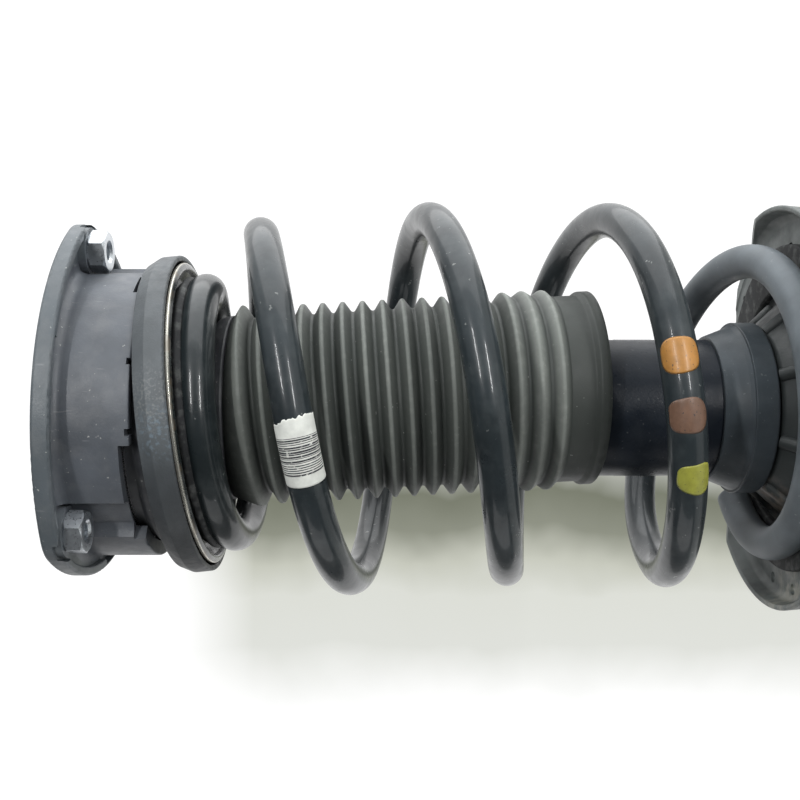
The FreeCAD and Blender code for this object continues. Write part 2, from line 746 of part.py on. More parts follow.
def lower_seat_outline():
    """A disc with one side cut flat and the two corners rounded."""
    bottom = LOWER_SEAT_FLOOR_Z - 30
    disc = cylinder(LOWER_SEAT_R + 1, bottom, LOWER_SEAT_FLOOR_Z + 30)
    beyond = Part.makeBox(100, 300, 100, Vector(LOWER_SEAT_FLAT_R, -150, bottom - 10))
    disc = disc.cut(beyond)
    corners = [
        e for e in disc.Edges
        if abs(e.tangentAt(e.FirstParameter).z) > 0.99 and e.BoundBox.Center.x > LOWER_SEAT_FLAT_R - 1
    ]
    return spun(disc.makeFillet(LOWER_SEAT_CORNER_R, corners), LOWER_SEAT_FLAT_ANGLE)


def rim_gap():
    """The space above the floor where the rim is missing, with a ramp at each end."""
    bottom = LOWER_SEAT_FLOOR_Z + 0.6
    gap = sector(LOWER_SEAT_R + 5, 68.0, bottom, bottom + 15, RIM_GAP_START, RIM_GAP_END)
    for side, angle in ((-1, RIM_GAP_START), (1, RIM_GAP_END)):
        ramp = Part.makeBox(20.0, 40.0, 15.0, Vector(68.0, 0 if side > 0 else -40.0, 0))
        ramp.rotate(Vector(0, 0, 0), Vector(1, 0, 0), side * RIM_RAMP)
        ramp.translate(Vector(0, 0, bottom))
        gap = gap.fuse(spun(ramp, angle))
    return gap


def lower_spring_seat():
    floor = LOWER_SEAT_FLOOR_Z
    plate = LOWER_SEAT_PLATE
    cone_top = LOWER_SEAT_CONE_TOP_Z
    seat = turned([
        (TUBE_R + 0.05, cone_top - 5.0), (TUBE_R + 0.05, cone_top, 0), (31.0, cone_top, 3.0),
        (42.5, floor, 4.0), (74.0, floor, 3.5), (LOWER_SEAT_R - 2.0, LOWER_SEAT_RIM_Z, 0.8),
        (LOWER_SEAT_R, LOWER_SEAT_RIM_Z, 0.8), (LOWER_SEAT_R - 1.0, floor - plate, 4.5),
        (41.0, floor - plate, 5.5), (TUBE_R + plate, cone_top - 5.0, 1.5),
        (TUBE_R + plate, floor - 18.0), (TUBE_R + 0.05, floor - 18.0),
    ])
    for i in range(RIB_COUNT):
        rib_start = Vector(31.0, 0, cone_top - 0.6)
        rib = Part.makeCylinder(2.6, 17.0, rib_start, Vector(11.5, 0, floor - cone_top + 0.8))
        seat = seat.fuse(spun(rib, 22.5 + 360 * i / RIB_COUNT))
    seat = seat.common(lower_seat_outline()).cut(rim_gap())
    for angle, distance, radius in DRAIN_HOLES:
        x, y = on_circle(distance, angle)
        seat = seat.cut(cylinder(radius, floor - 10, floor + 10, x, y))
    return seat.cut(cylinder(TUBE_R + 0.05, -300, -250))


def lower_isolator():
    floor = LOWER_SEAT_FLOOR_Z
    ring = turned([(46.5, floor), (46.5, floor + 2.8, 1.0), (63.0, floor + 2.8, 1.0), (63.0, floor)])
    return ring.cut(coil_spring_solid(WIRE_R + 0.02))


def link_bracket():
    """A plate bracket welded to the tube on a curved foot, with the anti-roll-bar link's hole in its face."""
    z = LINK_BRACKET_Z
    plate = Part.makeBox(46.0, 4.0, 44.0, Vector(14.0, TUBE_R - 7.0, z - 22.0))
    corners = [e for e in plate.Edges if abs(e.tangentAt(0).y) > 0.9 and e.BoundBox.Center.x > 50]
    plate = plate.makeFillet(14.0, corners)
    foot = tube(TUBE_R + 4.0, TUBE_R + 0.05, z - 22.0, z + 22.0)
    foot = foot.common(Part.makeBox(40.0, 60.0, 50.0, Vector(6.0, -30.0, z - 25.0)))
    bracket = plate.fuse(foot)
    hole = Part.makeCylinder(LINK_HOLE_R, 60.0, Vector(46.0, -10.0, z), Vector(0, 1, 0))
    bracket = bracket.cut(hole).cut(cylinder(TUBE_R + 0.05, z - 40, z + 40))
    return spun(bracket, LINK_BRACKET_ANGLE)


def hose_bracket():
    """A bent tab welded to the tube that holds the brake hose and sensor lead."""
    z = HOSE_BRACKET_Z
    foot = tube(TUBE_R + 2.5, TUBE_R + 0.05, z - 11.0, z + 11.0)
    foot = foot.common(Part.makeBox(40.0, 36.0, 40.0, Vector(8.0, -18.0, z - 20.0)))
    arm = Part.makeBox(34.0, 22.0, 2.5, Vector(TUBE_R - 4.0, -11.0, z - 1.25))
    corners = [e for e in arm.Edges if abs(e.tangentAt(0).z) > 0.9 and e.BoundBox.Center.x > 40]
    arm = arm.makeFillet(9.0, corners)
    ear = Part.makeBox(2.5, 22.0, 9.0, Vector(TUBE_R - 1.0, -11.0, z - 1.25))
    bracket = foot.fuse(arm).fuse(ear)
    hole = cylinder(HOSE_HOLE_R, z - 10, z + 10, TUBE_R + 20.0, 0)
    bracket = bracket.cut(hole).cut(cylinder(TUBE_R + 0.05, z - 40, z + 40))
    return spun(bracket, HOSE_BRACKET_ANGLE)


def locating_tab():
    """The welded key that sets the tube's angle and depth in the wheel carrier's clamp."""
    bottom = CLAMP_TOP_Z + 2.0
    foot = tube(TUBE_R + 2.5, TUBE_R + 0.05, bottom, bottom + 34.0)
    foot = foot.common(Part.makeBox(40.0, 24.0, 60.0, Vector(6.0, -12.0, bottom - 13.0)))
    fin = Part.makeBox(12.0, 5.0, 34.0, Vector(TUBE_R + 1.0, -2.5, bottom))
    corners = [e for e in fin.Edges if abs(e.tangentAt(0).y) > 0.9 and e.BoundBox.Center.x > TUBE_R + 10]
    fin = fin.makeFillet(4.0, corners)
    tab = foot.fuse(fin).cut(cylinder(TUBE_R + 0.05, bottom - 10, bottom + 50))
    return spun(tab, TAB_ANGLE)


# ---------------------------------------------------------------- export

NODES = (
    mount_housing, mount_nuts, mount_rubber, mount_core, rod_nut, rebound_washer,
    bearing_upper_race, bearing_balls, ball_cage, bearing_lower_race, bearing_collar, bearing_cover_ring,
    upper_spring_seat, upper_isolator, coil_spring,
    dust_boot, boot_top_ring, bump_stop_cup, bump_stop,
    piston_rod, rebound_stop, piston, piston_band, piston_nut,
    strut_tube, tube_cap, rod_guide, rod_seal, working_cylinder, base_valve, bottom_cap,
    guard_sleeve, sleeve_collar, lower_spring_seat, lower_isolator,
    link_bracket, hose_bracket, locating_tab,
)

os.makedirs("parts", exist_ok=True)
for make in NODES:
    export(make.__name__, make())
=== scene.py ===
import json
import math
import random

import bmesh
import bpy
from mathutils import Matrix, Vector

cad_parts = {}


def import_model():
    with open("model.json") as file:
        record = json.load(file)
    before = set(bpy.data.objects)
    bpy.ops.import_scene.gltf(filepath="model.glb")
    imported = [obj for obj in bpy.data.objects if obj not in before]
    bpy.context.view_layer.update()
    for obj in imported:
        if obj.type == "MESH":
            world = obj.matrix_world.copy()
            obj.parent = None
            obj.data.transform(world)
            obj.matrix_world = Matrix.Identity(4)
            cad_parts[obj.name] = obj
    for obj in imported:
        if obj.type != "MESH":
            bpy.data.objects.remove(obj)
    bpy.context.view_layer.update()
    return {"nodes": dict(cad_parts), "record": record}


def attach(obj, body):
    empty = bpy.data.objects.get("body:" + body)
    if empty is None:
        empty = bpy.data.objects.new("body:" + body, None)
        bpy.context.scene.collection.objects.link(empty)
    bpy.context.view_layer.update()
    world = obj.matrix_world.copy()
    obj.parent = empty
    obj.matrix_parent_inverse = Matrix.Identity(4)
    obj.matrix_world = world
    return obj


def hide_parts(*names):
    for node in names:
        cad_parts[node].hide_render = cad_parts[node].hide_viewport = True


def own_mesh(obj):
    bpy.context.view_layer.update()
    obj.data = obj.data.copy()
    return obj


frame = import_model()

MM = 0.001

# ---------------------------------------------------------------- sizes, in millimetres as in the CAD

# Coil spring. Turns are counted from the +X side. Heights are of the wire's centre.
WIRE_R = 6.5
SPRING_HEIGHTS = (
    (-0.35, -51.0), (-0.12, -45.4), (0.00, -47.6), (0.25, -52.3), (0.50, -59.0), (0.75, -60.8),
    (1.00, -67.8), (1.25, -86.7), (1.50, -105.2), (1.75, -117.2),
    (2.00, -130.9), (2.25, -150.3), (2.50, -163.7), (2.75, -176.6),
    (3.00, -198.5), (3.25, -213.9), (3.50, -222.9), (3.62, -225.8), (3.75, -235.6),
    (4.00, -255.9), (4.25, -263.2), (4.62, -263.7),
)
# Mean radius of the coil, then its centre's offset along +X
SPRING_WIDTHS = (
    (-0.35, 46.5, -1.2), (0.00, 46.5, -1.2), (0.50, 48.0, -1.0),
    (1.00, 65.6, 0.5), (1.50, 66.6, 1.5), (2.00, 67.0, 5.2), (2.50, 67.3, 5.5),
    (3.00, 67.0, 5.0), (3.50, 67.0, 5.0), (4.00, 54.8, 2.0), (4.62, 54.4, 2.0),
)
SPRING_END_CHAMFER = 1.0
END_COIL_R = 50.0

# Paper label on the wire: its ends in turns, half its spread round the wire in degrees, how far in turns
# its torn edge wavers and slants, its two faces over the wire, and its block of bars as shares of its size
LABEL_START = 1.256
LABEL_END = 1.308
LABEL_HALF_ANGLE = 96.0
LABEL_TEAR = 0.0035
LABEL_SLANT = 0.006
LABEL_LIFTS = (0.16, 0.02)
LABEL_BARS = 31.0
LABEL_BLOCK_START = 0.30
LABEL_BLOCK_END = 0.84
LABEL_BLOCK_HALF = 0.93
LABEL_SEED = 7

# Paint marks: name, turn, middle angle round the wire, half length, half angle
MARKS = (
    ("mark_orange", 3.2230, 10.0, 5.5, 66.0),
    ("mark_brown", 3.2656, 6.0, 5.3, 66.0),
    ("mark_yellow", 3.3120, -12.0, 4.9, 60.0),
)
MARK_COIL_R = 67.0
MARK_SQUARENESS = 2.6
MARK_EDGE_LIFT = 0.01
MARK_THICKNESS = 0.14
MARK_WAVES = (2, 3, 5)
MARK_WAVE_SIZE = 0.05
MARK_SEED = 31

# Dust boot: the pleats lean less and less from the top to the bottom, and the lip dips at the front.
# The valleys grow shallower downwards, and only a band along each crest is pale, a painted highlight; the
# rest is painted dark as shade.
BOOT_AXIS_X = 0.8
BOOT_AXIS_SLOPE = 0.0546
BOOT_TILT_TOP = 6.0
BOOT_TILT_BOTTOM = 1.6
BOOT_DIP = 4.8
BOOT_TOP_Z = -58.9
BOOT_FIRST_CREST_Z = -65.6
BOOT_PITCH = 7.43
BOOT_CRESTS = 16
BOOT_TOP_R = 35.2
BOOT_CREST_R = 39.6
BOOT_CREST_TAPER = 0.04
BOOT_CREST_FILLET = 1.1
BOOT_VALLEY_R = 33.0
BOOT_VALLEY_GROWTH = 0.09
BOOT_LAST_VALLEY_R = 36.3
BOOT_VALLEY_FILLET = 1.0
BOOT_INNER_FILLET = 0.8
BOOT_SHALLOW_CRESTS = 3
BOOT_NECK_R = 36.0
BOOT_NECK_RISE = 0.5
BOOT_LIP_R = 37.4
BOOT_LIP_HEIGHT = 3.5
BOOT_LIP_SLOPE = 1.5
BOOT_END_Z = -194.0
BOOT_WALL = 1.3
BOOT_BAND_DEPTH = 1.0
BOOT_BAND_FADE = 0.9
BOOT_SEGMENTS = 192

# Bump stop, a waisted foam sleeve round the rod
ROD_R = 11.0
BUMP_BORE_GAP = 0.8
BUMP_R = 24.0
BUMP_ANCHOR_Z = -46.8
BUMP_BOTTOM_Z = -105.0

FILLET_STEPS = 6

# Where the looks of a part change: the flange's lip, the upper seat's rim and the lower seat's dish, which
# is painted darker as shade
LIP_R = 58.8
LIP_Z = -8.0
RIM_CENTRE_X = -1.9
RIM_R = 57.3
DISH_R = 54.0
SEAT_EDGE_R = 66.0

# Stage and camera
CAMERA_PLACE = (3.0, -400.0, -122.0)
CAMERA_LENS = 46.2
SENSOR_WIDTH = 36.0
WALL_Y = 1300.0
WALL_X = (-2000.0, 2000.0)
WALL_Z = (-2200.0, 2000.0)
FLOOR_R = 480.0
FLOOR_TOP_Z = -491.5
FLOOR_BOTTOM_Z = -497.5
FLOOR_SIDES = 96

# The painted soft shadow on the wall: heights along X with their colours, then where it fades in and out
# along Z
SHADE_STOPS = (
    (-520.0, (1.00, 1.00, 1.00)), (-400.0, (0.68, 0.69, 0.65)), (-310.0, (0.66, 0.67, 0.62)),
    (-262.0, (0.52, 0.53, 0.46)), (-212.0, (0.24, 0.25, 0.20)), (-160.0, (0.17, 0.18, 0.135)),
    (-120.0, (0.45, 0.46, 0.42)), (-70.0, (0.85, 0.86, 0.84)), (-20.0, (1.00, 1.00, 1.00)),
)
SHADE_TOP_SIDE = (260.0, 120.0)
SHADE_BOTTOM_SIDE = (-950.0, -800.0)

# Lights: name, place, width and height, watts. All of them point at the middle of the visible part.
LIGHT_TARGET = (0.0, 0.0, -120.0)
LIGHTS = (
    ("strip_left", (500.0, -1500.0, 700.0), (45.0, 800.0), 11.0),
    ("strip_right", (500.0, -1500.0, -900.0), (45.0, 800.0), 11.0),
    ("top_fill", (1300.0, 120.0, -120.0), (2600.0, 2000.0), 26.0),
    ("low_fill", (-1100.0, -100.0, -120.0), (1200.0, 500.0), 2.0),
)
# The world's strength, from looking a little down (-X) to looking nearly straight up (+X)
WORLD_FADE = {"From Min": -0.15, "From Max": 0.9, "To Min": 0.10, "To Max": 1.30}
WORLD_COLOUR = (0.93, 0.97, 1.0, 1.0)


# ---------------------------------------------------------------- mesh helpers

def smooth(rows, t):
    """Cubic interpolation of (position, value) rows, each slope taken from the row's two neighbours."""
    last = len(rows) - 1
    k = max(i for i in range(last) if i == 0 or rows[i][0] <= t)

    def slope(i):
        a = rows[max(i - 1, 0)]
        b = rows[min(i + 1, last)]
        return (b[1] - a[1]) / (b[0] - a[0])

    width = rows[k + 1][0] - rows[k][0]
    u = (t - rows[k][0]) / width
    rise = rows[k + 1][1] - rows[k][1]
    ease = u * u * (3 - 2 * u)
    start_bend = slope(k) * width * u * (1 - u) ** 2
    end_bend = slope(k + 1) * width * u * u * (u - 1)
    return rows[k][1] + rise * ease + start_bend + end_bend


def new_piece(name, vertices, faces, material):
    """A smooth-shaded mesh object from vertices in millimetres."""
    mesh = bpy.data.meshes.new(name)
    mesh.from_pydata([Vector(v) * MM for v in vertices], [], faces)
    mesh.update()
    mesh.polygons.foreach_set("use_smooth", [True] * len(mesh.polygons))
    piece = bpy.data.objects.new(name, mesh)
    bpy.context.scene.collection.objects.link(piece)
    mesh.materials.append(material)
    return piece


def rounded(corners):
    """Points along (r, z) or (r, z, fillet) corners of an open profile, filleted where asked."""
    points = []
    count = len(corners)
    for i, corner in enumerate(corners):
        p = Vector(corner[:2])
        fillet = corner[2] if len(corner) > 2 else 0.0
        if fillet == 0 or i in (0, count - 1):
            points.append(p)
            continue
        before = (Vector(corners[i - 1][:2]) - p).normalized()
        after = (Vector(corners[i + 1][:2]) - p).normalized()
        half = before.angle(after) / 2
        reach = fillet / math.tan(half)
        centre = p + (before + after).normalized() * (fillet / math.sin(half))
        start = p + before * reach - centre
        end = p + after * reach - centre
        sweep = math.pi - 2 * half
        sign = 1 if start.x * end.y - start.y * end.x > 0 else -1
        for k in range(FILLET_STEPS + 1):
            a = sign * sweep * k / FILLET_STEPS
            turned = Vector((
                start.x * math.cos(a) - start.y * math.sin(a),
                start.x * math.sin(a) + start.y * math.cos(a),
            ))
            points.append(centre + turned)
    return points


def revolve(name, outline, material, segments, shape=None):
    """Turns a closed (r, z) outline about Z; shape may place each point, given its r, z and angle."""
    vertices, faces = [], []
    count = len(outline)
    for s in range(segments):
        a = 2 * math.pi * s / segments
        for r, z in outline:
            vertices.append(shape(r, z, a) if shape else Vector((r * math.cos(a), r * math.sin(a), z)))
    for s in range(segments):
        here, there = s * count, (s + 1) % segments * count
        for i in range(count):
            j = (i + 1) % count
            faces.append((here + i, there + i, there + j, here + j))
    piece = new_piece(name, vertices, faces, material)
    outward(piece)
    return piece


def outward(piece):
    """Turns every face of a closed mesh outwards."""
    bm = bmesh.new()
    bm.from_mesh(piece.data)
    bmesh.ops.recalc_face_normals(bm, faces=bm.faces)
    bm.to_mesh(piece.data)
    bm.free()


def attribute(piece, name, values):
    """Stores one value per vertex, for a material to read."""
    layer = piece.data.attributes.new(name, "FLOAT", "POINT")
    layer.data.foreach_set("value", values)


# ---------------------------------------------------------------- node materials

class Graph:
    """A material's node tree, with one method for each kind of node that the materials use."""

    def __init__(self, name):
        self.material = bpy.data.materials.new(name)
        self.material.use_nodes = True
        self.tree = self.material.node_tree
        self.shader = self.tree.nodes["Principled BSDF"]
        self.place = self.node("ShaderNodeTexCoord").outputs["Object"]

    def node(self, kind, **settings):
        node = self.tree.nodes.new(kind)
        for key, value in settings.items():
            setattr(node, key, value)
        return node

    def feed(self, socket, value):
        """Links a socket to a node's output, or sets it to a constant."""
        if isinstance(value, bpy.types.NodeSocket):
            self.tree.links.new(value, socket)
        elif isinstance(value, tuple) and len(value) == 3 and socket.type == "RGBA":
            socket.default_value = (*value, 1)
        else:
            socket.default_value = value

    def noise(self, size, detail=3.0, roughness=0.55, stretch=None):
        """A noise whose features measure about size millimetres, from 0 to 1."""
        node = self.node("ShaderNodeTexNoise")
        source = self.place
        if stretch:
            mapping = self.node("ShaderNodeMapping")
            mapping.inputs["Scale"].default_value = stretch
            self.feed(mapping.inputs["Vector"], source)
            source = mapping.outputs["Vector"]
        self.feed(node.inputs["Vector"], source)
        node.inputs["Scale"].default_value = 1 / (size * MM)
        node.inputs["Detail"].default_value = detail
        node.inputs["Roughness"].default_value = roughness
        return node.outputs["Fac"]

    def maths(self, operation, a, b=0.0):
        node = self.node("ShaderNodeMath", operation=operation)
        self.feed(node.inputs[0], a)
        self.feed(node.inputs[1], b)
        return node.outputs[0]

    def span(self, value, low, high, to_low=0.0, to_high=1.0):
        """A value carried from one span to another and clamped there."""
        node = self.node("ShaderNodeMapRange")
        inputs = {"Value": value, "From Min": low, "From Max": high, "To Min": to_low, "To Max": to_high}
        for key, item in inputs.items():
            self.feed(node.inputs[key], item)
        return node.outputs[0]

    def along(self, length, start, end, to_low=0.0, to_high=1.0):
        """The same for a length in metres that goes from start to end millimetres."""
        return self.span(length, start * MM, end * MM, to_low, to_high)

    def times(self, a, b):
        return self.maths("MULTIPLY", a, b)

    def mix(self, factor, a, b):
        node = self.node("ShaderNodeMix", data_type="RGBA")
        colours = [s for s in node.inputs if s.type == "RGBA"]
        self.feed(node.inputs[0], factor)
        self.feed(colours[0], a)
        self.feed(colours[1], b)
        return [s for s in node.outputs if s.type == "RGBA"][0]

    def axis(self, name):
        node = self.node("ShaderNodeSeparateXYZ")
        self.feed(node.inputs[0], self.place)
        return node.outputs[name]

    def near(self, point, inner, outer):
        """One within inner millimetres of a point, falling to zero at outer."""
        node = self.node("ShaderNodeVectorMath", operation="DISTANCE")
        self.feed(node.inputs[0], self.place)
        node.inputs[1].default_value = Vector(point) * MM
        return self.along(node.outputs["Value"], outer, inner)

    def radius(self, centre_x=0.0):
        """The distance from a line along Z, in metres."""
        x = self.maths("SUBTRACT", self.axis("X"), centre_x * MM)
        y = self.axis("Y")
        return self.maths("SQRT", self.maths("ADD", self.times(x, x), self.times(y, y)))

    def attribute(self, name):
        return self.node("ShaderNodeAttribute", attribute_name=name).outputs["Fac"]

    def bump(self, height, depth):
        """Relief whose height runs over depth millimetres."""
        node = self.node("ShaderNodeBump")
        node.inputs["Strength"].default_value = 1.0
        node.inputs["Distance"].default_value = depth * MM
        self.feed(node.inputs["Height"], height)
        return node.outputs["Normal"]

    def finish(
        self, colour, roughness, metallic=0.0, normal=None, coat=0.0, coat_roughness=0.1, specular=0.5,
    ):
        values = {
            "Base Color": colour, "Roughness": roughness, "Metallic": metallic, "Coat Weight": coat,
            "Coat Roughness": coat_roughness, "Specular IOR Level": specular,
        }
        for key, value in values.items():
            self.feed(self.shader.inputs[key], value)
        if normal is not None:
            self.feed(self.shader.inputs["Normal"], normal)
        return self.material


def tint(colour, factor):
    """A colour made darker or lighter."""
    return tuple(min(1.0, c * factor) for c in colour)


def mottled(graph, colour, size, contrast):
    """A colour that wanders between darker and lighter over patches of about size millimetres."""
    wander = graph.span(graph.noise(size, 4.0), 0.35, 0.65)
    return graph.mix(wander, tint(colour, 1 - contrast), tint(colour, 1 + contrast))


def specks(graph, size, threshold):
    """Small scattered spots, fewer with a higher threshold."""
    return graph.span(graph.noise(size, 2.0), threshold, threshold + 0.04)


DUST = (0.34, 0.35, 0.33)


def satin(name, colour, roughness, dust=0.35, coat=0.0, specular=0.5):
    """Paint or plastic with soft blotches, fine grain and a little dust."""
    g = Graph(name)
    base = mottled(g, colour, 22, 0.22)
    haze = g.span(g.noise(9, 5.0), 0.45, 0.75, 0.0, dust * 0.35)
    base = g.mix(haze, base, DUST)
    spots = g.times(specks(g, 1.6, 0.70), dust)
    base = g.mix(spots, base, tint(DUST, 1.5))
    rough = g.maths("ADD", g.span(g.noise(5), 0.3, 0.7, roughness - 0.06, roughness + 0.06), spots)
    return g.finish(base, rough, 0.0, g.bump(g.noise(0.9, 3.0), 0.05), coat, 0.12, specular)


def metal(name, colour, roughness, contrast=0.12, brushed=(1, 1, 1)):
    """Bare or plated metal with slight staining and fine scratches."""
    g = Graph(name)
    base = mottled(g, colour, 6, contrast)
    base = g.mix(g.span(g.noise(2.2, 4.0), 0.58, 0.72, 0.0, 0.3), base, tint(colour, 0.55))
    scratches = g.noise(0.8, 3.0, stretch=brushed)
    rough = g.span(scratches, 0.3, 0.7, roughness - 0.05, roughness + 0.1)
    return g.finish(base, rough, 1.0, g.bump(scratches, 0.01))


def rubber(name, colour, roughness=0.7):
    """Matt rubber, a little dusty."""
    g = Graph(name)
    base = mottled(g, colour, 12, 0.2)
    base = g.mix(g.span(g.noise(4, 5.0), 0.5, 0.8, 0.0, 0.3), base, DUST)
    return g.finish(base, roughness, 0.0, g.bump(g.noise(0.7), 0.04), specular=0.3)


def mount_black():
    """Satin blue-grey housing, greener on the flange's lip, with dust specks and a few scratches."""
    g = Graph("mount_black")
    base = mottled(g, (0.085, 0.094, 0.108), 26, 0.2)
    lip = g.times(g.along(g.radius(), LIP_R, LIP_R + 1.2), g.along(g.axis("Z"), LIP_Z, LIP_Z + 1.8))
    base = g.mix(g.times(lip, 0.45), base, (0.080, 0.100, 0.105))
    haze = g.span(g.noise(7, 6.0), 0.48, 0.72, 0.0, 0.22)
    base = g.mix(haze, base, (0.20, 0.20, 0.20))
    spots = g.times(specks(g, 1.5, 0.71), 0.6)
    base = g.mix(spots, base, (0.45, 0.45, 0.43))
    scratch = g.span(g.noise(1.4, 2.0, stretch=(1, 1, 0.12)), 0.70, 0.74, 0.0, 0.25)
    base = g.mix(scratch, base, (0.3, 0.3, 0.31))
    rough = g.maths("ADD", g.span(g.noise(4), 0.3, 0.7, 0.40, 0.52), spots)
    return g.finish(base, rough, 0.0, g.bump(g.noise(0.8, 3.0), 0.07), specular=0.55)


def cover_plastic():
    """Moulded grey cover ring: worn blue-grey chips at the front, with painted shade darkening it below, on
    the side away from the light.
    """
    g = Graph("cover_plastic")
    base = mottled(g, (0.075, 0.084, 0.090), 18, 0.2)
    # Painted shade: the ring is darkened towards -X, the side turned away from the light.
    base = g.mix(g.along(g.axis("X"), -12, -45, 0.0, 0.8), base, (0.020, 0.022, 0.024))
    worn = g.times(g.near((-8, -61, -43), 4, 11), g.span(g.noise(1.6, 5.0), 0.50, 0.60))
    base = g.mix(g.times(worn, 0.55), base, (0.15, 0.20, 0.24))
    grit = g.times(g.near((4, -61, -42), 6, 15), g.span(g.noise(0.9, 3.0), 0.5, 0.66))
    base = g.mix(g.times(grit, 0.35), base, (0.24, 0.25, 0.24))
    return g.finish(base, g.span(g.noise(3), 0.3, 0.7, 0.42, 0.6), 0.0, g.bump(g.noise(0.8, 3.0), 0.08))


def seat_gloss_black():
    """Gloss black pressed seat whose outer rim is worn to bright metal."""
    g = Graph("seat_gloss_black")
    base = mottled(g, (0.014, 0.018, 0.018), 12, 0.3)
    radius = g.radius(RIM_CENTRE_X)
    rim = g.along(radius, RIM_R, RIM_R + 0.4)
    base = g.mix(rim, base, (0.62, 0.60, 0.53))
    rust = g.times(g.span(g.noise(6, 4.0), 0.5, 0.62), g.along(radius, RIM_R - 1.1, RIM_R - 0.1))
    base = g.mix(g.times(rust, 0.35), base, (0.20, 0.13, 0.07))
    rough = g.span(g.noise(6), 0.3, 0.7, 0.2, 0.36)
    return g.finish(base, rough, g.times(rim, 0.8), g.bump(g.noise(3, 2.0), 0.02), 0.3, 0.1)


def spring_black():
    """Gloss powder coat: the top coil painted blacker as shade under the upper seat, scuffed and dusty
    towards the bottom one.
    """
    g = Graph("spring_black")
    turn = g.attribute("turn")
    base = mottled(g, (0.019, 0.025, 0.028), 20, 0.25)
    # Painted shade: the first turn, tucked under the upper seat's dish, is darkened.
    base = g.mix(g.span(turn, 0.95, 0.45, 0.0, 0.7), base, (0.010, 0.014, 0.015))
    low = g.span(turn, 3.5, 4.0)
    dusty = g.times(low, g.span(g.noise(14, 4.0), 0.3, 0.7, 0.45, 0.85))
    base = g.mix(dusty, base, (0.185, 0.208, 0.225))
    haze = g.span(g.noise(8, 6.0), 0.48, 0.76, 0.0, 0.10)
    base = g.mix(haze, base, (0.20, 0.22, 0.22))
    scuff = g.times(specks(g, 2.4, 0.68), g.span(g.noise(26, 2.0), 0.48, 0.6))
    base = g.mix(g.times(scuff, 0.6), base, (0.28, 0.29, 0.28))
    rough = g.maths("ADD", g.span(g.noise(7), 0.3, 0.7, 0.26, 0.40), g.times(low, 0.22))
    coat = g.span(low, 0.0, 1.0, 0.35, 0.03)
    return g.finish(base, rough, 0.0, g.bump(g.noise(2.2, 2.0), 0.035), coat, 0.08, 0.30)


def boot_rubber():
    """Grey-green rubber: crests painted paler as a highlight, with dust on them, and valleys and flanks
    painted darker as shade.
    """
    g = Graph("boot_rubber")
    crest = g.attribute("crest")
    # Painted light: the crest band is painted pale as lit, and everything else dark as shade.
    base = g.mix(crest, (0.036, 0.041, 0.037), (0.190, 0.203, 0.185))
    wander = g.span(g.noise(18, 4.0), 0.35, 0.65)
    base = g.mix(g.times(wander, 0.20), base, (0.060, 0.064, 0.058))
    dust = g.times(g.span(g.noise(3, 6.0), 0.5, 0.75, 0.0, 0.25), crest)
    base = g.mix(dust, base, (0.36, 0.37, 0.34))
    base = g.mix(g.times(specks(g, 1.5, 0.73), 0.5), base, (0.40, 0.41, 0.38))
    rough = g.span(g.noise(5), 0.3, 0.7, 0.50, 0.62)
    return g.finish(base, rough, 0.0, g.bump(g.noise(0.8), 0.05), specular=0.4)


def bump_foam():
    """Foamed polyurethane with open pores."""
    g = Graph("bump_foam")
    colour = (0.58, 0.50, 0.27)
    base = mottled(g, colour, 10, 0.12)
    pores = g.span(g.noise(0.6, 2.0), 0.35, 0.5)
    base = g.mix(pores, tint(colour, 0.6), base)
    return g.finish(base, 0.85, 0.0, g.bump(pores, 0.15), specular=0.25)


def label_paper():
    """Off-white paper with a block of plain bars across the wire, worn thin in places."""
    g = Graph("label_paper")
    along, across = g.attribute("along"), g.attribute("across")
    count = g.times(along, LABEL_BARS)
    bars = g.node("ShaderNodeTexWhiteNoise", noise_dimensions="1D")
    g.feed(bars.inputs["W"], g.maths("FLOOR", count))
    width = g.span(bars.outputs["Value"], 0.0, 1.0, 0.30, 0.85)
    ink = g.maths("LESS_THAN", g.maths("FRACT", count), width)
    ink = g.times(ink, g.maths("GREATER_THAN", along, LABEL_BLOCK_START))
    ink = g.times(ink, g.maths("LESS_THAN", along, LABEL_BLOCK_END))
    ink = g.times(ink, g.maths("LESS_THAN", g.maths("ABSOLUTE", across), LABEL_BLOCK_HALF))
    ink = g.times(ink, g.span(g.noise(1.5, 4.0), 0.3, 0.42))
    paper = mottled(g, (0.70, 0.71, 0.66), 4, 0.10)
    base = g.mix(ink, paper, (0.03, 0.03, 0.035))
    return g.finish(base, 0.55, 0.0, g.bump(g.noise(2.0), 0.05), specular=0.4)


def paint_mark(name, colour):
    """Brushed-on paint with small chips through to the coat."""
    g = Graph(name)
    base = mottled(g, colour, 3, 0.12)
    chips = g.times(specks(g, 0.9, 0.66), 0.9)
    base = g.mix(chips, base, (0.03, 0.03, 0.03))
    rough = g.span(g.noise(2), 0.3, 0.7, 0.35, 0.5)
    return g.finish(base, rough, 0.0, g.bump(g.noise(1.2), 0.06), 0.15, 0.2)


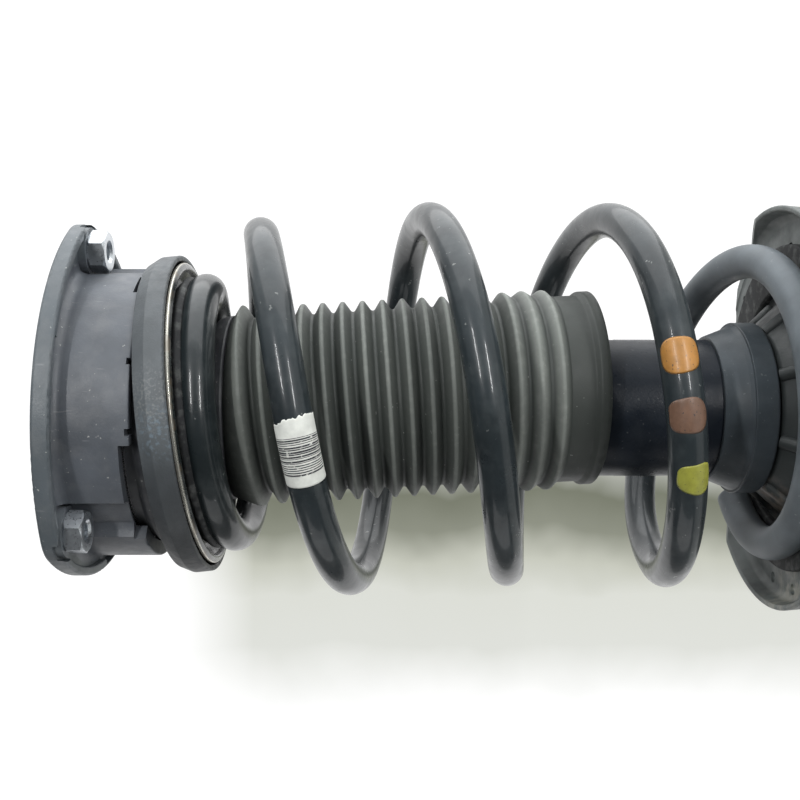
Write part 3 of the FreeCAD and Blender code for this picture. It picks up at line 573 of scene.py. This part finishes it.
def seat_black():
    """Dusty black seat with painted shade darkening its dish, a brown dust patch and pale rubbing near the
    rim.
    """
    g = Graph("seat_black")
    base = mottled(g, (0.095, 0.108, 0.104), 16, 0.25)
    radius = g.radius()
    # Painted shade: the dish inside the seat's edge is darkened as if shadowed near the collar.
    base = g.mix(g.along(radius, SEAT_EDGE_R, DISH_R, 0.0, 0.8), base, (0.010, 0.013, 0.014))
    dusty = g.times(g.span(g.noise(9, 6.0), 0.45, 0.7, 0.0, 0.55), g.along(radius, DISH_R + 2, SEAT_EDGE_R))
    base = g.mix(dusty, base, (0.135, 0.145, 0.135))
    brown = g.times(g.near((-43, -5, -262), 10, 24), g.span(g.noise(6, 4.0), 0.42, 0.56))
    base = g.mix(g.times(brown, 0.6), base, (0.20, 0.155, 0.115))
    pale = g.times(g.near((-67, -10, -271), 8, 26), g.span(g.noise(7, 4.0), 0.42, 0.6))
    base = g.mix(g.times(pale, 0.7), base, (0.36, 0.35, 0.29))
    rough = g.span(g.noise(5), 0.3, 0.7, 0.42, 0.62)
    return g.finish(base, rough, 0.0, g.bump(g.noise(1.0, 4.0), 0.08))


def make_materials():
    """Every material, by the name of its slot."""
    return {
        "mount_black": mount_black(),
        "cover_plastic": cover_plastic(),
        "seat_gloss_black": seat_gloss_black(),
        "spring_black": spring_black(),
        "boot_rubber": boot_rubber(),
        "bump_foam": bump_foam(),
        "label_paper": label_paper(),
        "seat_black": seat_black(),
        "mark_orange": paint_mark("mark_orange", (0.40, 0.185, 0.040)),
        "mark_brown": paint_mark("mark_brown", (0.150, 0.082, 0.052)),
        "mark_yellow": paint_mark("mark_yellow", (0.30, 0.30, 0.045)),
        "zinc": metal("zinc", (0.66, 0.69, 0.72), 0.30),
        "black_rubber": rubber("black_rubber", (0.018, 0.019, 0.020)),
        "bare_steel": metal("bare_steel", (0.42, 0.43, 0.44), 0.34),
        "bearing_steel": metal("bearing_steel", (0.50, 0.50, 0.50), 0.24),
        "ball_steel": metal("ball_steel", (0.75, 0.75, 0.76), 0.10),
        "cage_plastic": satin("cage_plastic", (0.62, 0.58, 0.47), 0.5, dust=0.1),
        "collar_plastic": satin("collar_plastic", (0.036, 0.038, 0.043), 0.5),
        "rod_chrome": metal("rod_chrome", (0.78, 0.78, 0.80), 0.10, 0.03, (1, 1, 0.05)),
        "sintered_steel": metal("sintered_steel", (0.30, 0.30, 0.31), 0.5),
        "piston_ptfe": satin("piston_ptfe", (0.46, 0.42, 0.36), 0.45, dust=0.05),
        "seal_rubber": rubber("seal_rubber", (0.03, 0.03, 0.03), 0.55),
        "tube_black": satin("tube_black", (0.018, 0.020, 0.023), 0.32, 0.15, 0.1, 0.35),
        "sleeve_plastic": satin("sleeve_plastic", (0.010, 0.013, 0.018), 0.32, 0.06, 0.0, 0.12),
        "sleeve_collar_plastic": satin(
            "sleeve_collar_plastic", (0.050, 0.060, 0.068), 0.42, 0.12, 0.0, 0.2,
        ),
    }


# ---------------------------------------------------------------- coil spring, its label and paint marks

def wire_centre(turn):
    """A point on the wire's centre line."""
    angle = -2 * math.pi * turn
    height = smooth(SPRING_HEIGHTS, turn)
    radius = smooth([(row[0], row[1]) for row in SPRING_WIDTHS], turn)
    offset = smooth([(row[0], row[2]) for row in SPRING_WIDTHS], turn)
    return Vector((offset + radius * math.cos(angle), radius * math.sin(angle), height))


def wire_frame(turn):
    """The wire's centre, direction, outward side and the side square to both."""
    step = 0.002
    centre = wire_centre(turn)
    ahead = wire_centre(min(turn + step, SPRING_HEIGHTS[-1][0]))
    along = (ahead - wire_centre(turn - step)).normalized()
    angle = -2 * math.pi * turn
    out = Vector((math.cos(angle), math.sin(angle), 0))
    out = (out - along * out.dot(along)).normalized()
    return centre, along, out, along.cross(out)


def on_wire(turn, angle, lift=0.0):
    """A point on the wire's surface; the angle, in degrees, runs from the outward side."""
    centre, _, out, side = wire_frame(turn)
    a = math.radians(angle)
    return centre + (out * math.cos(a) + side * math.sin(a)) * (WIRE_R + lift)


def with_spring(piece):
    """Carries a piece with the spring's body, on its own copy of the mesh."""
    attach(piece, "spring_carrier")
    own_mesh(piece)


def coil_spring(material):
    """The whole wire, with a small chamfer at each end."""
    around = 48
    per_turn = 128
    first, last = SPRING_HEIGHTS[0][0], SPRING_HEIGHTS[-1][0]
    steps = round((last - first) * per_turn)
    end_r = WIRE_R - SPRING_END_CHAMFER
    chamfer_turn = SPRING_END_CHAMFER / (2 * math.pi * END_COIL_R)
    rings = [(first, end_r), (first + chamfer_turn, WIRE_R)]
    rings += [(first + (last - first) * i / steps, WIRE_R) for i in range(1, steps)]
    rings += [(last - chamfer_turn, WIRE_R), (last, end_r)]
    vertices, faces, turns = [], [], []
    for turn, radius in rings:
        centre, _, out, side = wire_frame(turn)
        for k in range(around):
            a = 2 * math.pi * k / around
            vertices.append(centre + (out * math.cos(a) + side * math.sin(a)) * radius)
            turns.append(turn)
    for i in range(len(rings) - 1):
        here, there = i * around, (i + 1) * around
        for k in range(around):
            n = (k + 1) % around
            faces.append((here + k, here + n, there + n, there + k))
    faces.append(tuple(range(around)))
    faces.append(tuple((len(rings) - 1) * around + k for k in reversed(range(around))))
    piece = new_piece("spring_wire", vertices, faces, material)
    outward(piece)
    attribute(piece, "turn", turns)
    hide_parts("coil_spring")
    with_spring(piece)


def wire_label(material):
    """A paper label round the front of the wire, torn along its upper edge."""
    lengthwise, crosswise = 48, 40
    edge = random.Random(LABEL_SEED)
    tear = [edge.uniform(0.0, 1.0) for _ in range(crosswise + 1)]
    vertices, faces, along_values, across_values = [], [], [], []
    for lift in LABEL_LIFTS:
        for j in range(crosswise + 1):
            across = 2 * j / crosswise - 1
            waver = LABEL_TEAR * (tear[j] + tear[j - 1]) / 2
            start = LABEL_START + waver + LABEL_SLANT * max(0.0, across)
            for i in range(lengthwise + 1):
                turn = start + (LABEL_END - start) * i / lengthwise
                vertices.append(on_wire(turn, LABEL_HALF_ANGLE * across, lift))
                along_values.append((turn - LABEL_START) / (LABEL_END - LABEL_START))
                across_values.append(across)
    row = lengthwise + 1
    layer = row * (crosswise + 1)
    for j in range(crosswise):
        for i in range(lengthwise):
            a, d = j * row + i, (j + 1) * row + i
            faces.append((a, a + 1, d + 1, d))
            faces.append((layer + d, layer + d + 1, layer + a + 1, layer + a))
    rim = list(range(lengthwise)) + [j * row + lengthwise for j in range(crosswise)]
    rim += [crosswise * row + i for i in range(lengthwise, 0, -1)]
    rim += [j * row for j in range(crosswise, 0, -1)]
    for a, b in zip(rim, rim[1:] + rim[:1]):
        faces.append((a, layer + a, layer + b, b))
    piece = new_piece("wire_label", vertices, faces, material)
    outward(piece)
    attribute(piece, "along", along_values)
    attribute(piece, "across", across_values)
    with_spring(piece)


def daub(name, mark, waves, material):
    """One daub of paint on the wire: rings that thin out to a wavy, squarish edge, then its underside."""
    turn, middle, half_length, half_angle = mark
    rings, around = 10, 56
    turn_per_mm = 1 / (2 * math.pi * MARK_COIL_R)
    power = MARK_SQUARENESS
    vertices, faces = [], []
    for thickness in (MARK_THICKNESS, 0.0):
        for ring in range(rings + 1):
            share = ring / rings
            lift = MARK_EDGE_LIFT + thickness * math.sqrt(max(0.0, 1 - share ** 4))
            for k in range(around):
                a = 2 * math.pi * k / around
                wave = 1 + sum(size * math.sin(count * a + phase) for count, size, phase in waves)
                square = 1 / (abs(math.cos(a)) ** power + abs(math.sin(a)) ** power) ** (1 / power)
                reach = share * wave * square
                vertices.append(on_wire(
                    turn + half_length * turn_per_mm * reach * math.sin(a),
                    middle + half_angle * reach * math.cos(a), lift,
                ))
    layer = (rings + 1) * around
    for ring in range(rings):
        here, there = ring * around, (ring + 1) * around
        for k in range(around):
            n = (k + 1) % around
            faces.append((here + k, here + n, there + n, there + k))
            faces.append((layer + there + k, layer + there + n, layer + here + n, layer + here + k))
    edge = rings * around
    for k in range(around):
        n = (k + 1) % around
        faces.append((edge + k, edge + n, layer + edge + n, layer + edge + k))
    piece = new_piece(name + "_paint", vertices, faces, material)
    weld(piece)
    with_spring(piece)


def paint_marks(materials):
    for number, (name, *mark) in enumerate(MARKS):
        shape = random.Random(MARK_SEED + number)
        waves = [
            (count, shape.uniform(0.0, MARK_WAVE_SIZE), shape.uniform(0.0, 2 * math.pi))
            for count in MARK_WAVES
        ]
        daub(name, mark, waves, materials[name])


def weld(piece):
    """Merges coincident vertices and turns the closed mesh outwards."""
    bm = bmesh.new()
    bm.from_mesh(piece.data)
    bmesh.ops.remove_doubles(bm, verts=bm.verts, dist=1e-7)
    bmesh.ops.dissolve_degenerate(bm, edges=bm.edges, dist=1e-8)
    bmesh.ops.recalc_face_normals(bm, faces=bm.faces)
    bm.to_mesh(piece.data)
    bm.free()


# ---------------------------------------------------------------- dust boot and bump stop

def boot_corners():
    """Corners of the pleats from the top down, then of the wall's inner face back up."""
    outer = [(BOOT_TOP_R, BOOT_TOP_Z)]
    for i in range(BOOT_CRESTS):
        z = BOOT_FIRST_CREST_Z - i * BOOT_PITCH
        shallow = i >= BOOT_CRESTS - BOOT_SHALLOW_CRESTS
        valley = BOOT_LAST_VALLEY_R if shallow else BOOT_VALLEY_R + BOOT_VALLEY_GROWTH * i
        outer.append((BOOT_CREST_R - BOOT_CREST_TAPER * i, z, BOOT_CREST_FILLET))
        outer.append((valley, z - BOOT_PITCH / 2, BOOT_VALLEY_FILLET))
    last_valley_z = outer.pop()[1]
    lip_z = BOOT_END_Z + BOOT_LIP_HEIGHT
    outer.append((BOOT_NECK_R, last_valley_z + BOOT_NECK_RISE, BOOT_VALLEY_FILLET))
    inner = [(BOOT_TOP_R - BOOT_WALL, BOOT_TOP_Z)]
    inner += [(r - BOOT_WALL, z, BOOT_INNER_FILLET) for r, z, _ in outer[1:]]
    inner.append((BOOT_NECK_R - BOOT_WALL, BOOT_END_Z))
    outer.append((BOOT_NECK_R, lip_z + BOOT_LIP_SLOPE, BOOT_VALLEY_FILLET))
    outer.append((BOOT_LIP_R, lip_z, BOOT_VALLEY_FILLET))
    outer.append((BOOT_LIP_R, BOOT_END_Z))
    return outer, inner[::-1]


def on_boot(r, z, a):
    """A point of the boot, whose axis leans towards +X and whose pleats tilt a little."""
    t = (BOOT_FIRST_CREST_Z - z) / ((BOOT_CRESTS - 1) * BOOT_PITCH)
    x = BOOT_AXIS_X + BOOT_AXIS_SLOPE * (BOOT_FIRST_CREST_Z - z)
    tilt = math.radians(BOOT_TILT_TOP + (BOOT_TILT_BOTTOM - BOOT_TILT_TOP) * max(0.0, t))
    tilt *= min(1.0, (BOOT_TOP_Z - z) / (BOOT_TOP_Z - BOOT_FIRST_CREST_Z))
    dip = math.tan(math.radians(BOOT_DIP)) * min(1.0, max(0.0, t)) ** 2
    lean = r * math.cos(a)
    across = r * math.sin(a)
    return Vector((x + lean * math.cos(tilt), across, z + lean * math.sin(tilt) + across * dip))


def dust_boot(material):
    outer, inner = boot_corners()
    outline = rounded(outer) + rounded(inner)
    piece = revolve("boot_pleats", outline, material, BOOT_SEGMENTS, on_boot)
    band_r = BOOT_CREST_R - BOOT_BAND_DEPTH
    # The crest band, which the material paints pale as a highlight.
    crest = [min(1.0, max(0.0, 1.0 - (band_r - r) / BOOT_BAND_FADE)) for r, _ in outline]
    attribute(piece, "crest", crest * BOOT_SEGMENTS)
    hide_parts("dust_boot")
    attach(piece, "top_mount")
    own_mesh(piece)


def bump_stop(material):
    bore = ROD_R + BUMP_BORE_GAP
    corners = [
        (bore, BUMP_ANCHOR_Z), (BUMP_R, BUMP_ANCHOR_Z, 2.0), (BUMP_R, -62.0, 3.0), (19.5, -67.0, 2.5),
        (23.0, -74.0, 3.0), (18.0, -82.0, 2.5), (21.0, -89.0, 3.0), (15.5, -97.0, 2.5),
        (15.0, BUMP_BOTTOM_Z, 1.6), (bore, BUMP_BOTTOM_Z),
    ]
    piece = revolve("bump_stop_foam", rounded(corners), material, 96)
    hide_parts("bump_stop")
    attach(piece, "top_mount")
    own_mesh(piece)


# ---------------------------------------------------------------- stage, lights and camera

def backdrop():
    """A glowing wall behind, white above, with the part's soft shadow painted on it in olive-grey."""
    g = Graph("backdrop")
    height = g.maths("ADD", g.axis("X"), g.span(g.noise(220, 3.0), 0.3, 0.7, -0.02, 0.02))
    ramp = g.node("ShaderNodeValToRGB")
    stops = ramp.color_ramp.elements
    low, high = SHADE_STOPS[0][0], SHADE_STOPS[-1][0]
    for i, (level, colour) in enumerate(SHADE_STOPS):
        stop = stops[i] if i < 2 else stops.new(1.0)
        stop.position = (level - low) / (high - low)
        stop.color = (*colour, 1)
    g.feed(ramp.inputs["Fac"], g.along(height, low, high))
    side = g.times(g.along(g.axis("Z"), *SHADE_TOP_SIDE), g.along(g.axis("Z"), *SHADE_BOTTOM_SIDE))
    # Painted shadow: the wall glows with this colour, so its shade is painted, not cast.
    glow = g.mix(side, (1.0, 1.0, 1.0), ramp.outputs["Color"])
    g.finish(g.mix(0.9, glow, (0.02, 0.02, 0.02)), 1.0, specular=0.0)
    g.feed(g.shader.inputs["Emission Color"], glow)
    g.shader.inputs["Emission Strength"].default_value = 1.0
    (left, right), (bottom, top) = WALL_X, WALL_Z
    corners = [(left, WALL_Y, bottom), (right, WALL_Y, bottom), (right, WALL_Y, top), (left, WALL_Y, top)]
    wall = new_piece("backdrop", corners, [(0, 1, 2, 3)], g.material)


def floor():
    """A pale round floor below the clamp end."""
    g = Graph("floor_pale")
    g.finish(g.mix(g.span(g.noise(90, 5.0), 0.35, 0.65), (0.74, 0.75, 0.73), (0.80, 0.81, 0.79)), 0.7)
    sides = FLOOR_SIDES
    angles = [2 * math.pi * k / sides for k in range(sides)]
    top = [(FLOOR_R * math.cos(a), FLOOR_R * math.sin(a), FLOOR_TOP_Z) for a in angles]
    bottom = [(x, y, FLOOR_BOTTOM_Z) for x, y, _ in top]
    faces = [tuple(range(sides)), tuple(reversed(range(sides, 2 * sides)))]
    faces += [(k, sides + k, sides + (k + 1) % sides, (k + 1) % sides) for k in range(sides)]
    disc = new_piece("floor", top + bottom, faces, g.material)
    disc.data.polygons.foreach_set("use_smooth", [False] * len(disc.data.polygons))
    outward(disc)


def aimed(item, place, target):
    """Places an object so that it looks at a target, its own X towards -Z."""
    place, target = Vector(place) * MM, Vector(target) * MM
    back = (place - target).normalized()
    right = Vector((0, 0, -1))
    right = (right - back * right.dot(back)).normalized()
    turn = Matrix((right, back.cross(right), back)).transposed().to_4x4()
    item.matrix_world = Matrix.Translation(place) @ turn
    bpy.context.scene.collection.objects.link(item)


def camera():
    """A camera square to the rod, in front of the strut and level with its visible part."""
    data = bpy.data.cameras.new("camera")
    data.lens = CAMERA_LENS
    data.sensor_width = SENSOR_WIDTH
    data.clip_start = 0.01
    data.clip_end = 20
    item = bpy.data.objects.new("camera", data)
    x, y, z = CAMERA_PLACE
    aimed(item, CAMERA_PLACE, (x, y + 100, z))
    bpy.context.scene.camera = item


def area_light(name, place, size, energy):
    data = bpy.data.lights.new(name, "AREA")
    data.shape = "RECTANGLE"
    data.size, data.size_y = size[0] * MM, size[1] * MM
    data.energy = energy
    aimed(bpy.data.objects.new(name, data), place, LIGHT_TARGET)


def world():
    """Soft light all round, brightest from straight above (+X) and faint from below."""
    studio = bpy.data.worlds.new("studio")
    bpy.context.scene.world = studio
    studio.use_nodes = True
    tree = studio.node_tree
    background = tree.nodes["Background"]
    coordinates = tree.nodes.new("ShaderNodeTexCoord")
    parts = tree.nodes.new("ShaderNodeSeparateXYZ")
    fade = tree.nodes.new("ShaderNodeMapRange")
    tree.links.new(coordinates.outputs["Generated"], parts.inputs[0])
    tree.links.new(parts.outputs["X"], fade.inputs["Value"])
    for key, value in WORLD_FADE.items():
        fade.inputs[key].default_value = value
    background.inputs["Color"].default_value = WORLD_COLOUR
    tree.links.new(fade.outputs[0], background.inputs["Strength"])


# ---------------------------------------------------------------- the scene

materials = make_materials()
for row in frame["record"]["subparts"]:
    node = frame["nodes"][row["node"]]
    for i in range(len(node.data.materials)):
        node.data.materials[i] = materials[row["material_slot"]]
coil_spring(materials["spring_black"])
wire_label(materials["label_paper"])
paint_marks(materials)
dust_boot(materials["boot_rubber"])
bump_stop(materials["bump_foam"])
backdrop()
floor()
world()
camera()
for light in LIGHTS:
    area_light(*light)
bpy.context.scene.view_settings.view_transform = "Standard"
